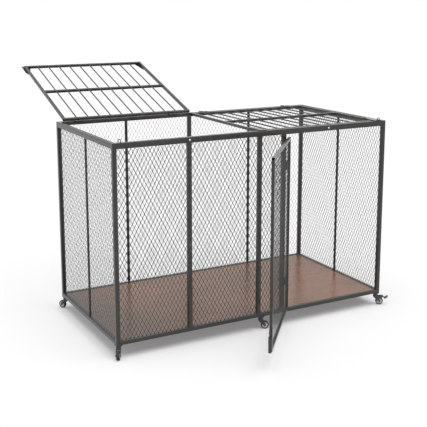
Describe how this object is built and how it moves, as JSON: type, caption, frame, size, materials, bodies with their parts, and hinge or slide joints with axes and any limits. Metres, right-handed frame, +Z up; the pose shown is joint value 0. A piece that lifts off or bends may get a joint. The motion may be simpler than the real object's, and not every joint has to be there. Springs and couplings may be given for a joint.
{
  "type": "dog crate",
  "caption": "Large tube and mesh dog crate on swivel casters, with a hinged front door with a drop bolt, rod lids that open upwards, and a sheet floor.",
  "frame": {"origin": "on the floor, under the middle of the frame's footprint", "axes": "+X to the right along the front, -Y out of the front where the door is, +Z up"},
  "size_m": [1.5475, 1.8584, 1.2207],
  "materials": {
    "frame_paint": "satin",
    "leaf_paint": "satin",
    "mesh_paint": "satin",
    "rod_paint": "satin",
    "pan_sheet": "satin",
    "zinc": "bright",
    "caster_steel": "satin",
    "wheel_rubber": "matte"
  },
  "bodies": {
    "crate": {"corner_post_front_left": "frame_paint", "corner_post_front_right": "frame_paint", "corner_post_back_left": "frame_paint", "corner_post_back_right": "frame_paint", "bottom_rail_front": "frame_paint", "bottom_rail_back": "frame_paint", "bottom_rail_left": "frame_paint", "bottom_rail_right": "frame_paint", "top_rail_front": "frame_paint", "top_rail_back": "frame_paint", "top_rail_left": "frame_paint", "top_rail_right": "frame_paint", "quarter_post": "frame_paint", "centre_post": "frame_paint", "door_jamb": "frame_paint", "back_post": "frame_paint", "back_bars": "frame_paint", "left_bar": "frame_paint", "right_bar": "frame_paint", "front_mesh_left": "mesh_paint", "front_mesh_centre": "mesh_paint", "front_mesh_strip": "mesh_paint", "back_mesh_left": "mesh_paint", "back_mesh_right": "mesh_paint", "left_mesh": "mesh_paint", "right_mesh": "mesh_paint", "floor_pan": "pan_sheet", "floor_bearer": "frame_paint", "caster_mounts": "caster_steel", "lid_pintles": "frame_paint", "lid_staples": "frame_paint", "rail_screws": "zinc", "door_pintles": "frame_paint"},
    "left_lid": {"left_lid_frame": "leaf_paint", "left_lid_rods": "rod_paint", "left_lid_plates": "leaf_paint", "left_lid_sockets": "leaf_paint"},
    "right_lid": {"right_lid_frame": "leaf_paint", "right_lid_rods": "rod_paint", "right_lid_plates": "leaf_paint", "right_lid_sockets": "leaf_paint"},
    "door": {"door_frame": "leaf_paint", "door_mesh": "mesh_paint", "door_sockets": "leaf_paint", "bolt_guide": "leaf_paint"},
    "bolt": {"drop_bolt": "zinc"},
    "caster_front_left": {"fork_front_left": "caster_steel"},
    "roller_front_left": {"wheel_front_left": "wheel_rubber"},
    "caster_front_middle": {"fork_front_middle": "caster_steel"},
    "roller_front_middle": {"wheel_front_middle": "wheel_rubber"},
    "caster_front_right": {"fork_front_right": "caster_steel"},
    "roller_front_right": {"wheel_front_right": "wheel_rubber"},
    "caster_back_left": {"fork_back_left": "caster_steel"},
    "roller_back_left": {"wheel_back_left": "wheel_rubber"},
    "caster_back_middle": {"fork_back_middle": "caster_steel"},
    "roller_back_middle": {"wheel_back_middle": "wheel_rubber"},
    "caster_back_right": {"fork_back_right": "caster_steel"},
    "roller_back_right": {"wheel_back_right": "wheel_rubber"},
    "brake": {"brake_pedal": "caster_steel"}
  },
  "joints": [
    {"name": "left_lid_hinge", "type": "hinge", "parent": "crate", "child": "left_lid", "pos_m": [-0.358, 0.3525, 0.985], "axis": [1, 0, 0], "range_deg": [0, 161.5]},
    {"name": "right_lid_hinge", "type": "hinge", "parent": "crate", "child": "right_lid", "pos_m": [0.358, 0.3525, 0.985], "axis": [-1, 0, 0], "range_deg": [0, 161.5]},
    {"name": "door_hinge", "type": "hinge", "parent": "crate", "child": "door", "pos_m": [0.15, -0.3775, 0.518], "axis": [0, 0, 1], "range_deg": [-35, 130.5]},
    {"name": "bolt_slide", "type": "slide", "parent": "door", "child": "bolt", "axis": [0, 0, 1], "range_m": [-0.014, 0.01]},
    {"name": "swivel_front_left", "type": "hinge", "parent": "crate", "child": "caster_front_left", "pos_m": [-0.731, -0.3635, 0.055], "axis": [0, 0, 1], "continuous": true},
    {"name": "roll_front_left", "type": "hinge", "parent": "caster_front_left", "child": "roller_front_left", "pos_m": [-0.74039, -0.38116, 0.02], "axis": [0.8829, -0.4695, 0], "continuous": true},
    {"name": "swivel_front_middle", "type": "hinge", "parent": "crate", "child": "caster_front_middle", "pos_m": [0.019, -0.3635, 0.055], "axis": [0, 0, 1], "continuous": true},
    {"name": "roll_front_middle", "type": "hinge", "parent": "caster_front_middle", "child": "roller_front_middle", "pos_m": [0.03666, -0.37289, 0.02], "axis": [0.4695, 0.8829, 0], "continuous": true},
    {"name": "swivel_front_right", "type": "hinge", "parent": "crate", "child": "caster_front_right", "pos_m": [0.731, -0.3635, 0.055], "axis": [0, 0, 1], "continuous": true},
    {"name": "roll_front_right", "type": "hinge", "parent": "caster_front_right", "child": "roller_front_right", "pos_m": [0.74866, -0.37289, 0.02], "axis": [0.4695, 0.8829, 0], "continuous": true},
    {"name": "swivel_back_left", "type": "hinge", "parent": "crate", "child": "caster_back_left", "pos_m": [-0.731, 0.3635, 0.055], "axis": [0, 0, 1], "continuous": true},
    {"name": "roll_back_left", "type": "hinge", "parent": "caster_back_left", "child": "roller_back_left", "pos_m": [-0.741, 0.38082, 0.02], "axis": [-0.866, -0.5, 0], "continuous": true},
    {"name": "swivel_back_middle", "type": "hinge", "parent": "crate", "child": "caster_back_middle", "pos_m": [0.019, 0.3635, 0.055], "axis": [0, 0, 1], "continuous": true},
    {"name": "roll_back_middle", "type": "hinge", "parent": "caster_back_middle", "child": "roller_back_middle", "pos_m": [0.03779, 0.37034, 0.02], "axis": [-0.342, 0.9397, 0], "continuous": true},
    {"name": "swivel_back_right", "type": "hinge", "parent": "crate", "child": "caster_back_right", "pos_m": [0.731, 0.3635, 0.055], "axis": [0, 0, 1], "continuous": true},
    {"name": "roll_back_right", "type": "hinge", "parent": "caster_back_right", "child": "roller_back_right", "pos_m": [0.74979, 0.35666, 0.02], "axis": [0.342, 0.9397, 0], "continuous": true},
    {"name": "brake_pivot", "type": "hinge", "parent": "caster_front_right", "child": "brake", "pos_m": [0.75749, -0.37758, 0.044], "axis": [0.4695, 0.8829, 0], "range_deg": [0, 12]}
  ]
}
